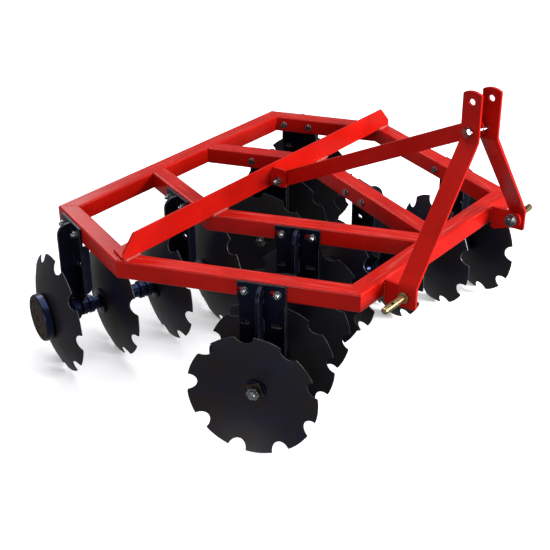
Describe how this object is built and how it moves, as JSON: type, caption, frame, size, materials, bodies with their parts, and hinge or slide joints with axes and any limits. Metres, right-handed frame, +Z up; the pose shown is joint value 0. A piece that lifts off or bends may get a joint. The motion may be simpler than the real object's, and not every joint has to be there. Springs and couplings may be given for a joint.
{
  "type": "disc harrow",
  "caption": "Mounted tandem disc harrow: a welded red tube frame with a flat-bar mast over gangs of notched concave discs that turn on their axles.",
  "frame": {"origin": "on the ground under the middle of the machine's box", "axes": "+X to the machine's left, -Y the way it travels (the mast's side), +Z up"},
  "size_m": [1.5488, 1.3769, 1.032],
  "materials": {
    "red_paint": "glossy red powder coat",
    "black_paint": "semi-gloss black paint",
    "disc_steel": "thin semi-gloss black coat on rolled steel",
    "cast_iron": "raw casting with light rust",
    "zinc_plate": "yellow zinc plate"
  },
  "bodies": {
    "frame": {"front_beam": "red_paint", "rear_beam": "red_paint", "left_front_side_beam": "red_paint", "left_rear_side_beam": "red_paint", "left_front_inner_beam": "red_paint", "left_rear_inner_beam": "red_paint", "right_front_side_beam": "red_paint", "right_rear_side_beam": "red_paint", "right_front_inner_beam": "red_paint", "right_rear_inner_beam": "red_paint", "cross_angle": "red_paint", "brace_lug": "red_paint", "brace_bar": "red_paint", "left_mast_bar": "red_paint", "left_hitch_bracket": "red_paint", "left_hitch_pin": "zinc_plate", "right_mast_bar": "red_paint", "right_hitch_bracket": "red_paint", "right_hitch_pin": "zinc_plate", "front_left_outer_hanger": "black_paint", "front_left_inner_hanger": "black_paint", "front_right_outer_hanger": "black_paint", "front_right_inner_hanger": "black_paint", "rear_left_outer_hanger": "black_paint", "rear_left_inner_hanger": "black_paint", "rear_right_outer_hanger": "black_paint", "rear_right_inner_hanger": "black_paint"},
    "front_left_gang": {"front_left_gang_axle": "black_paint", "front_left_end_bell": "cast_iron", "front_left_disc_1": "disc_steel", "front_left_disc_2": "disc_steel", "front_left_disc_3": "disc_steel", "front_left_disc_4": "disc_steel"},
    "front_right_gang": {"front_right_gang_axle": "black_paint", "front_right_end_bell": "cast_iron", "front_right_disc_1": "disc_steel", "front_right_disc_2": "disc_steel", "front_right_disc_3": "disc_steel", "front_right_disc_4": "disc_steel"},
    "rear_left_gang": {"rear_left_gang_axle": "black_paint", "rear_left_end_bell": "cast_iron", "rear_left_disc_1": "disc_steel", "rear_left_disc_2": "disc_steel", "rear_left_disc_3": "disc_steel", "rear_left_disc_4": "disc_steel"},
    "rear_right_gang": {"rear_right_gang_axle": "black_paint", "rear_right_end_bell": "cast_iron", "rear_right_disc_1": "disc_steel", "rear_right_disc_2": "disc_steel", "rear_right_disc_3": "disc_steel", "rear_right_disc_4": "disc_steel"}
  },
  "joints": [
    {"name": "front_left_gang_turn", "type": "hinge", "parent": "frame", "child": "front_left_gang", "pos_m": [0.0692, -0.08398, 0.203], "axis": [0.9289, -0.3702, 0], "continuous": true},
    {"name": "front_right_gang_turn", "type": "hinge", "parent": "frame", "child": "front_right_gang", "pos_m": [-0.0692, -0.08398, 0.203], "axis": [-0.9289, -0.3702, 0], "continuous": true},
    {"name": "rear_left_gang_turn", "type": "hinge", "parent": "frame", "child": "rear_left_gang", "pos_m": [0.72091, 0.51269, 0.203], "axis": [-0.938, -0.3467, 0], "continuous": true},
    {"name": "rear_right_gang_turn", "type": "hinge", "parent": "frame", "child": "rear_right_gang", "pos_m": [-0.72091, 0.51269, 0.203], "axis": [0.938, -0.3467, 0], "continuous": true}
  ]
}
